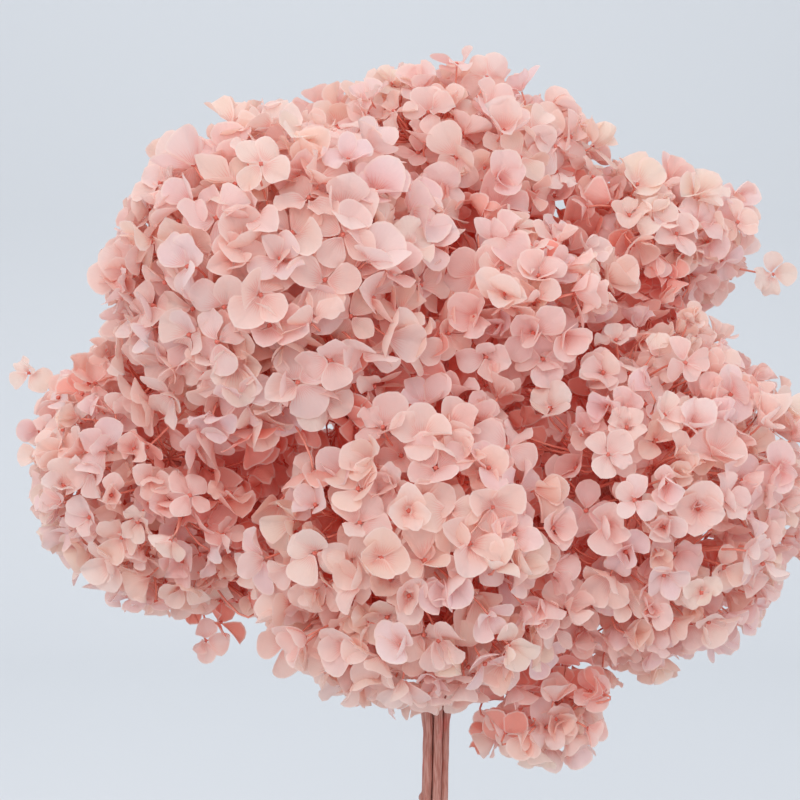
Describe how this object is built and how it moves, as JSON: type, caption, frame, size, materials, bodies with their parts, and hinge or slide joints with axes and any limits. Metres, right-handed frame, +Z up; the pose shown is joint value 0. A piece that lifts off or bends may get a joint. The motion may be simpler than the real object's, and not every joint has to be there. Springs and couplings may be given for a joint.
{
  "type": "hydrangea in a jar",
  "caption": "Bunch of preserved pink hydrangea heads on woody stems, standing in a plain clear glass jar that rests on its flat base.",
  "frame": {"origin": "centre of the jar's flat base, on the surface that it stands on", "axes": "+Z up along the jar's axis; -Y towards the viewer, so that the front view looks along +Y with +X to the right; the bunch leans a little towards +X and +Y"},
  "size_m": [0.278, 0.228, 0.482],
  "materials": {
    "jar_glass": "clear, smooth, glossy",
    "stem_wood": "fibrous, matte, rose-brown",
    "petals": "soft, thin, matte, pale pink with salmon depths"
  },
  "bodies": {
    "root": {"glass_jar": "jar_glass", "stem_crown": "stem_wood", "stem_right": "stem_wood", "stem_back_right": "stem_wood", "stem_back_left": "stem_wood", "stem_left": "stem_wood", "stem_left_top": "stem_wood", "stem_front": "stem_wood", "cluster_left_top_1": "petals", "cluster_left_top_2": "petals", "cluster_left_top_3": "petals", "cluster_left_top_4": "petals", "cluster_left_top_5": "petals", "cluster_left_top_6": "petals", "cluster_left_top_7": "petals", "cluster_crown_1": "petals", "cluster_crown_2": "petals", "cluster_crown_3": "petals", "cluster_crown_4": "petals", "cluster_crown_5": "petals", "cluster_right_top_1": "petals", "cluster_right_top_2": "petals", "cluster_right_top_3": "petals", "cluster_right_top_4": "petals", "cluster_centre_1": "petals", "cluster_centre_2": "petals", "cluster_centre_3": "petals", "cluster_right_1": "petals", "cluster_right_2": "petals", "cluster_right_3": "petals", "cluster_right_4": "petals", "cluster_right_5": "petals", "cluster_right_6": "petals", "cluster_right_7": "petals", "cluster_left_1": "petals", "cluster_left_2": "petals", "cluster_left_3": "petals", "cluster_left_4": "petals", "cluster_left_5": "petals", "cluster_left_6": "petals", "cluster_front_1": "petals", "cluster_front_2": "petals", "cluster_front_3": "petals", "cluster_front_4": "petals", "cluster_front_5": "petals", "cluster_front_6": "petals", "cluster_hanging_1": "petals", "cluster_hanging_2": "petals", "cluster_hanging_3": "petals", "cluster_back_left_1": "petals", "cluster_back_left_2": "petals", "cluster_back_left_3": "petals", "cluster_back_left_4": "petals", "cluster_back_left_5": "petals", "cluster_back_right_1": "petals", "cluster_back_right_2": "petals", "cluster_back_right_3": "petals", "cluster_back_right_4": "petals", "cluster_back_right_5": "petals"}
  },
  "joints": []
}
